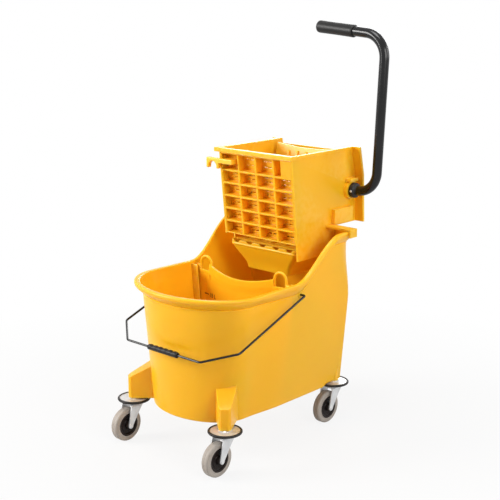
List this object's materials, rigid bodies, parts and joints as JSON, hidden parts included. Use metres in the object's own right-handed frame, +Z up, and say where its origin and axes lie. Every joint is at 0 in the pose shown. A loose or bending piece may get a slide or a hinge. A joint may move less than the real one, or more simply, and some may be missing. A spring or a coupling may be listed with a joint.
{
  "type": "mop bucket with side press wringer",
  "caption": "Wheeled mop bucket with a lift-off side press wringer, a lever that drives a sliding press plate, a lift-out divider and a swinging wire bail.",
  "frame": {"origin": "on the ground, on the middle plane, between the front and back casters", "axes": "+Z up, -Y towards the bucket's rounded nose, +X towards the lever's side"},
  "size_m": [0.3785, 0.549, 0.9152],
  "materials": {
    "shell_plastic": "satin injection-moulded polypropylene",
    "hook_plastic": "satin moulded nylon",
    "black_paint": "gloss black powder coat on steel",
    "black_plastic": "moulded nylon",
    "grip_rubber": "soft vinyl",
    "bumper_rubber": "moulded rubber",
    "zinc_steel": "bright zinc plate",
    "hub_plastic": "moulded polypropylene",
    "tyre_rubber": "grey non-marking rubber"
  },
  "bodies": {
    "bucket": {"bucket": "shell_plastic", "caster_sockets": "zinc_steel", "caster_stems": "zinc_steel", "swivel_plates": "zinc_steel", "bumper_rings": "bumper_rubber", "swivel_races": "zinc_steel"},
    "divider": {"divider": "shell_plastic"},
    "bail": {"bail_wire": "black_paint", "bail_retainers": "zinc_steel"},
    "bail_grip": {"bail_grip": "grip_rubber"},
    "wringer": {"wringer_frame": "shell_plastic", "strainer": "shell_plastic", "drain_chute": "shell_plastic", "shaft_bushes": "black_plastic", "tool_hook": "hook_plastic"},
    "press": {"press_plate": "shell_plastic"},
    "handle": {"drive_shaft": "zinc_steel", "crank_arms": "black_paint", "crank_pins": "zinc_steel", "shaft_retainer": "black_plastic", "handle_collar": "black_plastic", "collar_pin": "zinc_steel", "handle_tube": "black_paint", "handle_grip": "grip_rubber"},
    "caster_front_left": {"fork_front_left": "zinc_steel", "axle_front_left": "zinc_steel"},
    "wheel_front_left": {"hub_front_left": "hub_plastic", "tyre_front_left": "tyre_rubber"},
    "caster_front_right": {"fork_front_right": "zinc_steel", "axle_front_right": "zinc_steel"},
    "wheel_front_right": {"hub_front_right": "hub_plastic", "tyre_front_right": "tyre_rubber"},
    "caster_back_left": {"fork_back_left": "zinc_steel", "axle_back_left": "zinc_steel"},
    "wheel_back_left": {"hub_back_left": "hub_plastic", "tyre_back_left": "tyre_rubber"},
    "caster_back_right": {"fork_back_right": "zinc_steel", "axle_back_right": "zinc_steel"},
    "wheel_back_right": {"hub_back_right": "hub_plastic", "tyre_back_right": "tyre_rubber"}
  },
  "joints": [
    {"name": "wringer_lift", "type": "slide", "parent": "bucket", "child": "wringer", "axis": [0, 0, 1], "range_m": [0, 0.15]},
    {"name": "divider_lift", "type": "slide", "parent": "bucket", "child": "divider", "axis": [0, 0, 1], "range_m": [0, 0.2]},
    {"name": "bail_swing", "type": "hinge", "parent": "bucket", "child": "bail", "pos_m": [0, 0.017, 0.345], "axis": [-1, 0, 0], "range_deg": [0, 105]},
    {"name": "bail_grip_spin", "type": "hinge", "parent": "bail", "child": "bail_grip", "pos_m": [0, -0.24765, 0.24763], "axis": [1, 0, 0], "continuous": true},
    {"name": "handle_press", "type": "hinge", "parent": "wringer", "child": "handle", "pos_m": [0, 0.246, 0.539], "axis": [1, 0, 0], "range_deg": [0, 75]},
    {"name": "press_slide", "type": "slide", "parent": "wringer", "child": "press", "axis": [0, -1, 0], "range_m": [0, 0.0715]},
    {"name": "swivel_front_left", "type": "hinge", "parent": "bucket", "child": "caster_front_left", "pos_m": [-0.141, -0.206, 0.08], "axis": [0, 0, 1], "continuous": true},
    {"name": "spin_front_left", "type": "hinge", "parent": "caster_front_left", "child": "wheel_front_left", "pos_m": [-0.141, -0.232, 0.038], "axis": [1, 0, 0], "continuous": true},
    {"name": "swivel_front_right", "type": "hinge", "parent": "bucket", "child": "caster_front_right", "pos_m": [0.141, -0.206, 0.08], "axis": [0, 0, 1], "continuous": true},
    {"name": "spin_front_right", "type": "hinge", "parent": "caster_front_right", "child": "wheel_front_right", "pos_m": [0.141, -0.232, 0.038], "axis": [1, 0, 0], "continuous": true},
    {"name": "swivel_back_left", "type": "hinge", "parent": "bucket", "child": "caster_back_left", "pos_m": [-0.124, 0.181, 0.08], "axis": [0, 0, 1], "continuous": true},
    {"name": "spin_back_left", "type": "hinge", "parent": "caster_back_left", "child": "wheel_back_left", "pos_m": [-0.124, 0.155, 0.038], "axis": [1, 0, 0], "continuous": true},
    {"name": "swivel_back_right", "type": "hinge", "parent": "bucket", "child": "caster_back_right", "pos_m": [0.124, 0.181, 0.08], "axis": [0, 0, 1], "continuous": true},
    {"name": "spin_back_right", "type": "hinge", "parent": "caster_back_right", "child": "wheel_back_right", "pos_m": [0.124, 0.155, 0.038], "axis": [1, 0, 0], "continuous": true}
  ],
  "couplings": [
    {"joint": "press_slide", "follows": "handle_press", "m_per_rad": 0.054606}
  ]
}
